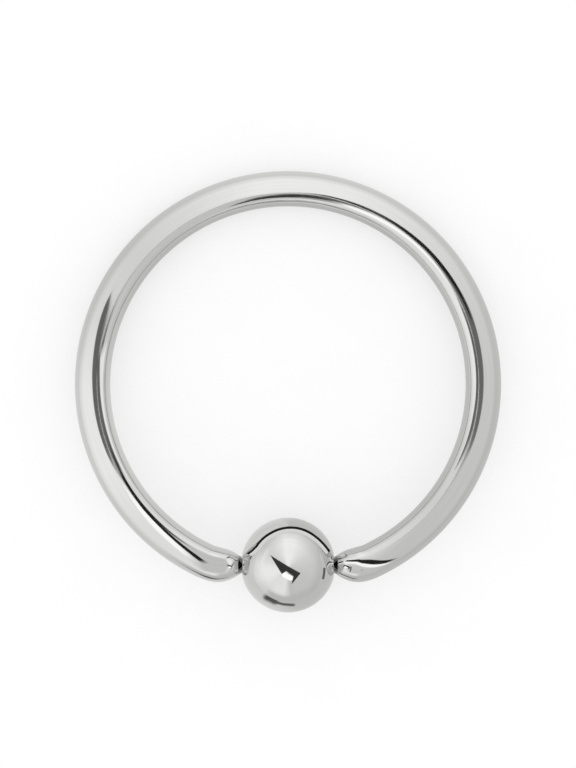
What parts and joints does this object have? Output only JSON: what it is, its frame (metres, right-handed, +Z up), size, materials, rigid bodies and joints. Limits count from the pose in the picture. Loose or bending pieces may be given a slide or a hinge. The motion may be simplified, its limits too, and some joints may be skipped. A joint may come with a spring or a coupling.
{
  "type": "captive bead ring",
  "caption": "Open ring of round polished steel wire whose tapered ends hold a dimpled steel bead, worn in a piercing.",
  "frame": {"origin": "on the surface that the ring lies on, under the middle of its length and width", "axes": "+Z up; +Y from the bead towards the far side of the wire; +X along the line through the bead's dimples"},
  "size_m": [0.0144, 0.0148, 0.0032],
  "materials": {
    "polished_steel": "polished"
  },
  "bodies": {
    "ring": {"ring": "polished_steel"},
    "bead": {"bead": "polished_steel"}
  },
  "joints": [
    {"name": "bead_spin", "type": "hinge", "parent": "ring", "child": "bead", "pos_m": [0, -0.00584, 0.0016], "axis": [1, 0, 0], "continuous": true}
  ]
}
